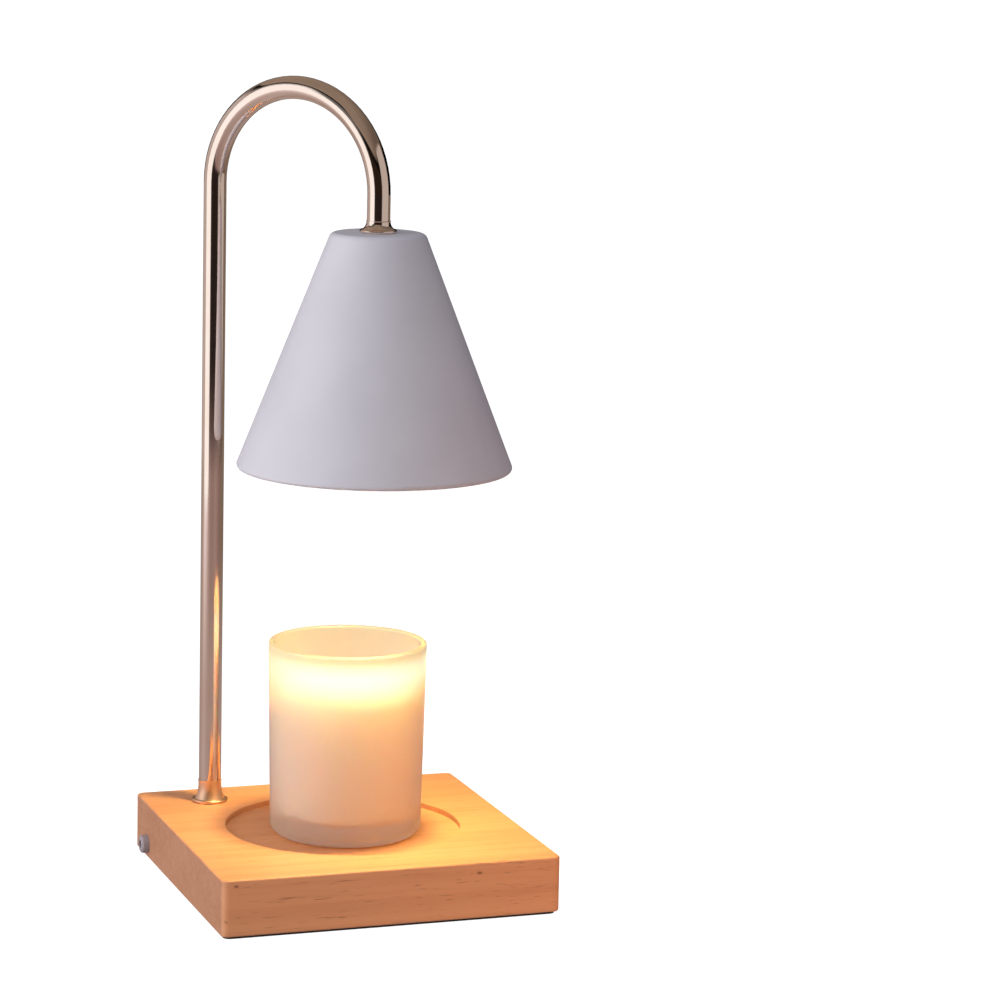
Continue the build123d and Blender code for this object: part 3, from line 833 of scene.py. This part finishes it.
# cards that only the mirrors see; angles are degrees about the post, 0 towards the camera and
# plus to its right
tableCard = dict(
    radius=4.0,
    below=0.0008,
    ends=(1.05, 1.28),       # in front of the lamp it goes dark here
    least=0.06,              # share that the dark end keeps
    near=(0.40, 0.33, 0.31),         # warmed by the bulb
    nearShare=0.8,
    nearReach=(0.35, 0.75),
    around=[(-106, (0.36, 0.32, 0.30)), (-74, (0.83, 0.75, 0.80)), (-54, (0.68, 0.59, 0.62)),
            (-35, (0.43, 0.35, 0.35)), (-12, (0.30, 0.22, 0.21)), (12, (0.30, 0.22, 0.21)),
            (35, (0.34, 0.26, 0.25)), (54, (0.30, 0.21, 0.20)), (74, (0.23, 0.16, 0.15)),
            (106, (0.20, 0.16, 0.13))],
    behind=[(0.19, 1.0), (0.23, 0.0), (0.77, 0.0), (0.81, 1.0)],  # no dark end, shares of a turn
)
ceilingCard = dict(
    radius=3.5,
    height=1.60,
    glow=(0.285, 0.232, 0.192),
    cloudScale=0.8,
    cloudShare=0.8,
    dims=[(0.40, 1.1), (0.54, 0.95), (0.72, 0.50)],     # from left to right, shares of its width
)
standing = dict(
    height=1.1,
    softEdge=0.20,           # share of half the width
    leftOver=0.17,           # share of the glow that is left where a card drew in
)
# narrows: from this height to this one the near end draws in by so much; fades: it dims out
# between these heights
standingCards = dict(
    left_card=dict(span=(-93, -33), away=0.88, glow=(1.05, 1.10, 1.15),
                   narrows=(0.33, 0.52, 0.36), fades=(0.66, 0.95)),
    right_card=dict(span=(33, 110), away=1.22, glow=(0.50, 0.47, 0.45)),
    far_card=dict(span=(-142, -86), away=1.05, glow=(0.50, 0.45, 0.44), fades=(0.80, 1.08)),
    front_card=dict(span=(-76, 76), away=3.4, glow=(0.022, 0.014, 0.009)),
)


def cardMaterial(card):
    # a card is never seen itself and lights nothing, it is there for the plating to mirror
    mat, tree, shader = newMaterial(card.name + "Glow")
    setInputs(shader, Base_Color=(0, 0, 0, 1), Emission_Strength=1.0, Specular_IOR_Level=0.0)
    card.data.materials.append(mat)
    card.visible_camera = card.visible_diffuse = False
    card.visible_transmission = card.visible_shadow = False
    return tree, shader.inputs["Emission Color"]


def discCard(name, radius, height, steps=64):
    # flat round card about the post, turned so that its x axis points at the camera
    turns = [2 * math.pi * i / steps for i in range(steps)]
    ring = [(radius * math.cos(a), radius * math.sin(a), 0) for a in turns]
    card = meshObject(name, ring, [tuple(range(steps))], smooth=False)
    card.location = (postX, postY, height)
    card.rotation_euler = (0, 0, cameraSide)
    return cardMaterial(card)


def makeTableCard():
    s = tableCard
    tree, emission = discCard("table_card", s["radius"], -s["below"])
    at = objectCoords(tree)
    axes = axesOf(tree, at)
    angle = mathNode(tree, "ARCTAN2", axes["Y"], axes["X"])
    turn = mathNode(tree, "MULTIPLY_ADD", angle, 0.5 / math.pi, 0.5)
    glow = ramp(tree, turn, *[(degrees / 360 + 0.5, tone) for degrees, tone in s["around"]])
    away = vectorNode(tree, "LENGTH", at, output="Value")
    warm, cool = s["nearReach"]
    nearness = ramp(tree, away, (warm, s["nearShare"]), (cool, 0.0))
    glow = mixColour(tree, nearness, glow, s["near"])
    start, end = (reach / s["radius"] for reach in s["ends"])
    outwards = mathNode(tree, "DIVIDE", away, s["radius"])
    edge = ramp(tree, outwards, (start, 1.0), (end, s["least"]))
    edge = mixColour(tree, 1.0, edge, ramp(tree, turn, *s["behind"]), "LIGHTEN")
    tree.links.new(mixColour(tree, 1.0, glow, edge, "MULTIPLY"), emission)


def makeCeilingCard():
    s = ceilingCard
    tree, emission = discCard("ceiling_card", s["radius"], s["height"])
    at = objectCoords(tree)
    cloud = noise(tree, at, s["cloudScale"])
    clouded = ramp(tree, cloud, (0.3, s["glow"]),
                   (0.7, tuple(g * s["cloudShare"] for g in s["glow"])))
    across = mathNode(tree, "MULTIPLY_ADD", axesOf(tree, at)["Y"], 0.5 / s["radius"], 0.5)
    dimmed = mixColour(tree, 1.0, clouded, ramp(tree, across, *s["dims"]), "MULTIPLY")
    tree.links.new(dimmed, emission)


def standingCard(name, span, away, glow, narrows=None, fades=None):
    # upright card that fills a span of angles as the post sees it, with soft ends
    s = standing
    middle = cameraSide + math.radians((span[0] + span[1]) / 2)
    half = away * math.tan(math.radians((span[1] - span[0]) / 2))
    high = s["height"]
    corners = [(-half, 0, 0), (half, 0, 0), (half, 0, high), (-half, 0, high)]
    card = meshObject(name, corners, [(0, 1, 2, 3)], smooth=False)
    card.location = (postX + away * math.cos(middle), postY + away * math.sin(middle), 0.0)
    card.rotation_euler = (0, 0, middle - math.pi / 2)
    tree, emission = cardMaterial(card)
    axes = axesOf(tree, objectCoords(tree))
    inset = mathNode(tree, "SUBTRACT", half, mathNode(tree, "ABSOLUTE", axes["X"]))
    inset = mathNode(tree, "DIVIDE", inset, half)
    soft = ramp(tree, inset, (0.0, 0.0), (s["softEdge"], 1.0))
    if narrows:
        low, up, much = narrows
        drawn = mathNode(tree, "MULTIPLY", ramp(tree, axes["Z"], (low, 0.0), (up, 1.0)), much)
        nearEnd = mathNode(tree, "SUBTRACT", mathNode(tree, "ADD", axes["X"], half), drawn)
        nearEnd = mathNode(tree, "DIVIDE", nearEnd, half)
        kept = ramp(tree, nearEnd, (0.0, s["leftOver"]), (s["softEdge"], 1.0))
        soft = mixColour(tree, 1.0, soft, kept, "MULTIPLY")
    if fades:
        low, up = fades
        fading = ramp(tree, axes["Z"], (low, 1.0), (up, 0.0))
        soft = mixColour(tree, 1.0, soft, fading, "MULTIPLY")
    tree.links.new(mixColour(tree, 1.0, soft, glow, "MULTIPLY"), emission)


# soft panels, seen by nothing that mirrors: the cards stand in for them there
panels = dict(
    key_panel=dict(at=(-1.15, 0.02, 0.32), size=(1.30, 1.85), power=18.2,
                   colour=(1.0, 0.95, 0.945), aim=(0, 0.02, 0.32)),
    front_panel=dict(at=(-0.55, -1.15, 1.35), size=(1.2, 0.9), power=8.6,
                     colour=(1, 1, 1), aim=(0, 0, 0.17)),
    # warm light that comes back low from the table and the room
    bounce_panel=dict(at=(0.16, -0.26, 0.05), size=(0.30, 0.06), power=0.24,
                      colour=(1.0, 0.42, 0.08), aim=(0, 0, 0.05)),
)
bulbLight = dict(
    colour=(1.0, 0.77, 0.285),
    power=0.35,
    spread=120,              # degrees of the beam
    radius=0.018,
    below=0.0012,            # just under the lens
    aside=(0.009, -0.004),
)
worldTone = (0.28, 0.275, 0.325)     # even light from all round


def areaLight(name, shape, at, power, colour):
    data = bpy.data.lights.new(name, "AREA")
    data.shape = shape
    data.energy = power
    data.color = colour
    light = bpy.data.objects.new(name, data)
    light.location = at
    bpy.context.scene.collection.objects.link(light)
    return light


def makePanel(name, at, size, power, colour, aim):
    light = areaLight(name, "RECTANGLE", at, power, colour)
    light.data.size, light.data.size_y = size
    light.rotation_euler = (Vector(aim) - Vector(at)).to_track_quat("-Z", "Y").to_euler()
    light.visible_glossy = False


def makeBulbLight():
    s = bulbLight
    at = (shadeX + s["aside"][0], shadeY + s["aside"][1], lensBottom - s["below"])
    light = areaLight("bulb_light", "DISK", at, s["power"], s["colour"])
    light.data.size = s["radius"] * 2
    light.data.spread = math.radians(s["spread"])
    # this light goes through the jar's wall unhindered, and only the wax inside shades the wood
    passing = bpy.data.collections.new("bulb_light_passes")
    passing.objects.link(nodes["candle_glass"])
    passing.collection_objects[0].light_linking.link_state = "EXCLUDE"
    light.light_linking.blocker_collection = passing


def makeWorld():
    world = bpy.data.worlds.new("studio_air")
    world.use_nodes = True
    setInputs(world.node_tree.nodes["Background"], Color=(*worldTone, 1), Strength=1.0)
    world.cycles_visibility.glossy = False     # the room is dark where the plating looks
    bpy.context.scene.world = world


def makeCamera():
    az, el, roll = (math.radians(view[k]) for k in ("azimuth", "elevation", "roll"))
    back = Vector((math.sin(az) * math.cos(el), -math.cos(az) * math.cos(el), math.sin(el)))
    right = Vector((math.cos(az), math.sin(az), 0))
    up = back.cross(right)
    target = right * view["aimRight"] + Vector((0, 0, baseTop + view["aimUp"]))
    camRight = right * math.cos(roll) + up * math.sin(roll)
    camUp = up * math.cos(roll) - right * math.sin(roll)
    data = bpy.data.cameras.new("camera")
    data.sensor_width = view["sensor"]
    data.lens = view["lens"]
    data.clip_end = view["clipEnd"]
    camera = bpy.data.objects.new("camera", data)
    turn = Matrix((camRight, camUp, back)).transposed().to_4x4()
    camera.matrix_world = Matrix.Translation(target + back * view["distance"]) @ turn
    bpy.context.scene.collection.objects.link(camera)
    bpy.context.scene.camera = camera


makeFloor()
makeTableCard()
makeCeilingCard()
for cardName, card in standingCards.items():
    standingCard(cardName, **card)
for panelName, panel in panels.items():
    makePanel(panelName, **panel)
makeBulbLight()
makeWorld()
makeCamera()
scene = bpy.context.scene
scene.view_settings.view_transform = "Standard"
scene.view_settings.look = "None"
print("studio ready")
